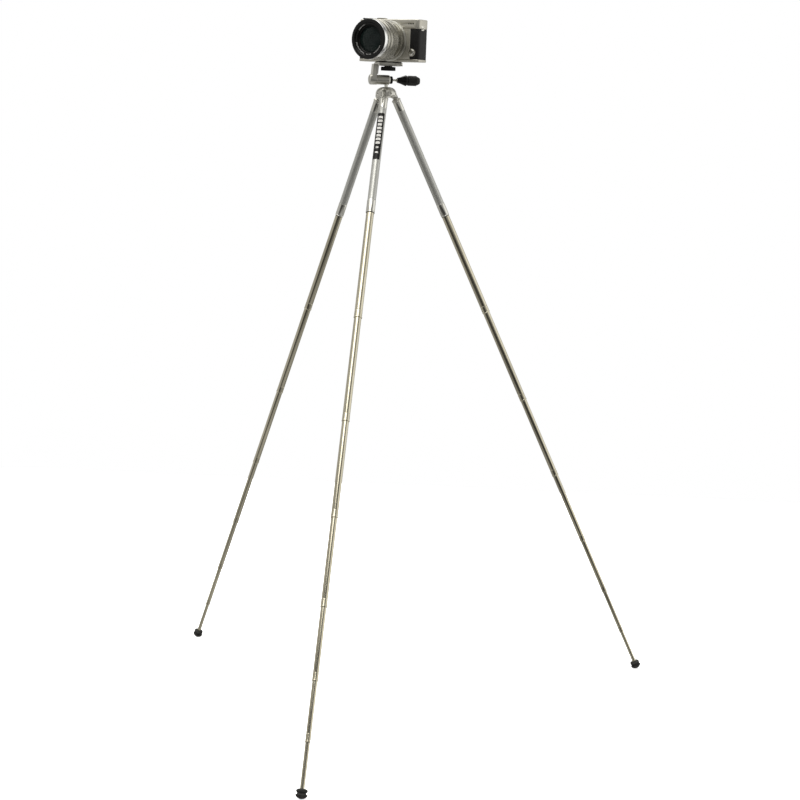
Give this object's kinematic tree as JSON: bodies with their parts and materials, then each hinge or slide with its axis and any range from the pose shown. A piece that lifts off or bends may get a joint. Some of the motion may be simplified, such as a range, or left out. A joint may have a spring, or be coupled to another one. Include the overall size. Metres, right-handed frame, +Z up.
{
  "type": "camera on a folding tripod",
  "caption": "Compact camera with zoom lens on a tall folding tripod with slender telescoping legs, pan and tilt head and rubber feet.",
  "frame": {"origin": "middle of the footprint, on the floor", "axes": "+Z up; -Y towards the front leg, roughly where the lens points; +X to the right seen from the front"},
  "size_m": [0.8698, 0.7557, 1.1444],
  "materials": {
    "satin_chrome": "satin plated",
    "bright_steel": "bright",
    "satin_tube": "satin grey",
    "nickel_brass": "nickel-plated, pale gold",
    "silver_paint": "silver-champagne satin",
    "black_plastic": "matte black",
    "black_rubber": "matte",
    "lens_glass": "coated, polished"
  },
  "bodies": {
    "crown": {"crown": "satin_chrome", "front_leg_pin": "bright_steel", "left_leg_pin": "bright_steel", "right_leg_pin": "bright_steel"},
    "pan": {"pan_post": "satin_chrome", "head_barrel": "satin_chrome", "friction_disc": "black_plastic"},
    "platform": {"tilt_bracket": "satin_chrome", "platform_pad": "black_rubber"},
    "handle": {"handle_rod": "bright_steel", "handle_grip": "black_plastic"},
    "camera_screw": {"camera_screw": "bright_steel", "screw_knob": "black_plastic"},
    "camera": {"body_middle": "black_plastic", "bottom_plate": "silver_paint", "top_plate": "silver_paint", "hot_shoe": "bright_steel", "mount_flange": "satin_chrome", "rear_barrel": "silver_paint"},
    "shutter_button": {"shutter_button": "satin_chrome"},
    "power_lever": {"power_lever": "black_plastic"},
    "mode_dial": {"mode_dial": "satin_chrome"},
    "command_dial": {"command_dial": "satin_chrome"},
    "lens_release": {"lens_release": "satin_chrome"},
    "rear_screen": {"rear_screen": "black_plastic"},
    "zoom_ring": {"zoom_ring": "silver_paint"},
    "focus_ring": {"focus_ring": "silver_paint"},
    "lens_front": {"inner_barrel": "black_plastic", "front_ring": "black_plastic", "front_element": "lens_glass"},
    "front_leg_1": {"front_leg_knuckle": "satin_chrome", "front_leg_outer_tube": "satin_tube"},
    "left_leg_1": {"left_leg_knuckle": "satin_chrome", "left_leg_outer_tube": "satin_tube"},
    "right_leg_1": {"right_leg_knuckle": "satin_chrome", "right_leg_outer_tube": "satin_tube"},
    "front_leg_2": {"front_leg_section_2": "nickel_brass"},
    "front_leg_3": {"front_leg_section_3": "nickel_brass"},
    "front_leg_4": {"front_leg_section_4": "nickel_brass"},
    "front_leg_5": {"front_leg_section_5": "nickel_brass"},
    "front_leg_6": {"front_leg_section_6": "nickel_brass"},
    "front_leg_7": {"front_leg_section_7": "nickel_brass"},
    "front_leg_8": {"front_leg_section_8": "nickel_brass", "front_leg_foot": "black_rubber"},
    "left_leg_2": {"left_leg_section_2": "nickel_brass"},
    "left_leg_3": {"left_leg_section_3": "nickel_brass"},
    "left_leg_4": {"left_leg_section_4": "nickel_brass"},
    "left_leg_5": {"left_leg_section_5": "nickel_brass"},
    "left_leg_6": {"left_leg_section_6": "nickel_brass"},
    "left_leg_7": {"left_leg_section_7": "nickel_brass"},
    "left_leg_8": {"left_leg_section_8": "nickel_brass", "left_leg_foot": "black_rubber"},
    "right_leg_2": {"right_leg_section_2": "nickel_brass"},
    "right_leg_3": {"right_leg_section_3": "nickel_brass"},
    "right_leg_4": {"right_leg_section_4": "nickel_brass"},
    "right_leg_5": {"right_leg_section_5": "nickel_brass"},
    "right_leg_6": {"right_leg_section_6": "nickel_brass"},
    "right_leg_7": {"right_leg_section_7": "nickel_brass"},
    "right_leg_8": {"right_leg_section_8": "nickel_brass", "right_leg_foot": "black_rubber"}
  },
  "joints": [
    {"name": "pan", "type": "hinge", "parent": "crown", "child": "pan", "pos_m": [0, 0.12218, 1.04226], "axis": [0, 0, 1], "continuous": true},
    {"name": "tilt", "type": "hinge", "parent": "pan", "child": "platform", "pos_m": [0, 0.12218, 1.04226], "axis": [0.9018, 0.4321, 0], "range_deg": [-66, 54]},
    {"name": "clamp_handle", "type": "hinge", "parent": "platform", "child": "handle", "pos_m": [0, 0.12218, 1.04226], "axis": [0.9018, 0.4321, 0], "range_deg": [0, 180]},
    {"name": "camera_turn", "type": "hinge", "parent": "platform", "child": "camera", "pos_m": [0.00385, 0.12063, 1.0714], "axis": [0.0452, -0.0943, 0.9945], "continuous": true},
    {"name": "screw_turn", "type": "hinge", "parent": "platform", "child": "camera_screw", "pos_m": [0.00252, 0.12339, 1.04226], "axis": [0.0452, -0.0943, 0.9945], "continuous": true},
    {"name": "zoom", "type": "hinge", "parent": "camera", "child": "zoom_ring", "pos_m": [0.01098, 0.09864, 1.10147], "axis": [-0.3388, -0.938, -0.0735], "range_deg": [0, 70]},
    {"name": "lens_extension", "type": "slide", "parent": "camera", "child": "lens_front", "axis": [-0.3388, -0.938, -0.0735], "range_m": [0, 0.022]},
    {"name": "focus", "type": "hinge", "parent": "camera", "child": "focus_ring", "pos_m": [0.01098, 0.09864, 1.10147], "axis": [-0.3388, -0.938, -0.0735], "continuous": true},
    {"name": "shutter_press", "type": "slide", "parent": "camera", "child": "shutter_button", "axis": [-0.0452, 0.0943, -0.9945], "range_m": [0, 0.0007], "stiffness_N_per_m": 1200, "springref_m": -0.0008},
    {"name": "power_switch", "type": "hinge", "parent": "camera", "child": "power_lever", "pos_m": [-0.02935, 0.12029, 1.14025], "axis": [0.0452, -0.0943, 0.9945], "range_deg": [0, 35]},
    {"name": "mode_select", "type": "hinge", "parent": "camera", "child": "mode_dial", "pos_m": [-0.0075, 0.12206, 1.13942], "axis": [0.0452, -0.0943, 0.9945], "continuous": true},
    {"name": "command_select", "type": "hinge", "parent": "camera", "child": "command_dial", "pos_m": [-0.02309, 0.13468, 1.14133], "axis": [0.0452, -0.0943, 0.9945], "continuous": true},
    {"name": "release_press", "type": "slide", "parent": "camera", "child": "lens_release", "axis": [0.3388, 0.938, 0.0735], "range_m": [0, 0.0015], "stiffness_N_per_m": 800, "springref_m": -0.001},
    {"name": "screen_tilt", "type": "hinge", "parent": "camera", "child": "rear_screen", "pos_m": [0.00579, 0.1333, 1.12249], "axis": [0.9398, -0.3336, -0.0743], "range_deg": [0, 90]},
    {"name": "front_leg_fold", "type": "hinge", "parent": "crown", "child": "front_leg_1", "pos_m": [0, 0.10868, 1.01866], "axis": [1, 0, 0], "range_deg": [0, 25.3]},
    {"name": "left_leg_fold", "type": "hinge", "parent": "crown", "child": "left_leg_1", "pos_m": [-0.01169, 0.12893, 1.01866], "axis": [-0.5, -0.866, 0], "range_deg": [0, 25.3]},
    {"name": "right_leg_fold", "type": "hinge", "parent": "crown", "child": "right_leg_1", "pos_m": [0.01169, 0.12893, 1.01866], "axis": [-0.5, 0.866, 0], "range_deg": [0, 25.3]},
    {"name": "front_leg_slide_2", "type": "slide", "parent": "front_leg_1", "child": "front_leg_2", "axis": [0, 0.4274, 0.9041], "range_m": [0, 0.1775]},
    {"name": "front_leg_slide_3", "type": "slide", "parent": "front_leg_2", "child": "front_leg_3", "axis": [0, 0.4274, 0.9041], "range_m": [0, 0.1665]},
    {"name": "front_leg_slide_4", "type": "slide", "parent": "front_leg_3", "child": "front_leg_4", "axis": [0, 0.4274, 0.9041], "range_m": [0, 0.1475]},
    {"name": "front_leg_slide_5", "type": "slide", "parent": "front_leg_4", "child": "front_leg_5", "axis": [0, 0.4274, 0.9041], "range_m": [0, 0.1305]},
    {"name": "front_leg_slide_6", "type": "slide", "parent": "front_leg_5", "child": "front_leg_6", "axis": [0, 0.4274, 0.9041], "range_m": [0, 0.1035]},
    {"name": "front_leg_slide_7", "type": "slide", "parent": "front_leg_6", "child": "front_leg_7", "axis": [0, 0.4274, 0.9041], "range_m": [0, 0.0825]},
    {"name": "front_leg_slide_8", "type": "slide", "parent": "front_leg_7", "child": "front_leg_8", "axis": [0, 0.4274, 0.9041], "range_m": [0, 0.0595]},
    {"name": "left_leg_slide_2", "type": "slide", "parent": "left_leg_1", "child": "left_leg_2", "axis": [0.3701, -0.2137, 0.9041], "range_m": [0, 0.1775]},
    {"name": "left_leg_slide_3", "type": "slide", "parent": "left_leg_2", "child": "left_leg_3", "axis": [0.3701, -0.2137, 0.9041], "range_m": [0, 0.1665]},
    {"name": "left_leg_slide_4", "type": "slide", "parent": "left_leg_3", "child": "left_leg_4", "axis": [0.3701, -0.2137, 0.9041], "range_m": [0, 0.1475]},
    {"name": "left_leg_slide_5", "type": "slide", "parent": "left_leg_4", "child": "left_leg_5", "axis": [0.3701, -0.2137, 0.9041], "range_m": [0, 0.1305]},
    {"name": "left_leg_slide_6", "type": "slide", "parent": "left_leg_5", "child": "left_leg_6", "axis": [0.3701, -0.2137, 0.9041], "range_m": [0, 0.1035]},
    {"name": "left_leg_slide_7", "type": "slide", "parent": "left_leg_6", "child": "left_leg_7", "axis": [0.3701, -0.2137, 0.9041], "range_m": [0, 0.0825]},
    {"name": "left_leg_slide_8", "type": "slide", "parent": "left_leg_7", "child": "left_leg_8", "axis": [0.3701, -0.2137, 0.9041], "range_m": [0, 0.0595]},
    {"name": "right_leg_slide_2", "type": "slide", "parent": "right_leg_1", "child": "right_leg_2", "axis": [-0.3701, -0.2137, 0.9041], "range_m": [0, 0.1775]},
    {"name": "right_leg_slide_3", "type": "slide", "parent": "right_leg_2", "child": "right_leg_3", "axis": [-0.3701, -0.2137, 0.9041], "range_m": [0, 0.1665]},
    {"name": "right_leg_slide_4", "type": "slide", "parent": "right_leg_3", "child": "right_leg_4", "axis": [-0.3701, -0.2137, 0.9041], "range_m": [0, 0.1475]},
    {"name": "right_leg_slide_5", "type": "slide", "parent": "right_leg_4", "child": "right_leg_5", "axis": [-0.3701, -0.2137, 0.9041], "range_m": [0, 0.1305]},
    {"name": "right_leg_slide_6", "type": "slide", "parent": "right_leg_5", "child": "right_leg_6", "axis": [-0.3701, -0.2137, 0.9041], "range_m": [0, 0.1035]},
    {"name": "right_leg_slide_7", "type": "slide", "parent": "right_leg_6", "child": "right_leg_7", "axis": [-0.3701, -0.2137, 0.9041], "range_m": [0, 0.0825]},
    {"name": "right_leg_slide_8", "type": "slide", "parent": "right_leg_7", "child": "right_leg_8", "axis": [-0.3701, -0.2137, 0.9041], "range_m": [0, 0.0595]}
  ],
  "couplings": [
    {"joint": "lens_extension", "follows": "zoom", "m_per_rad": 0.018}
  ]
}
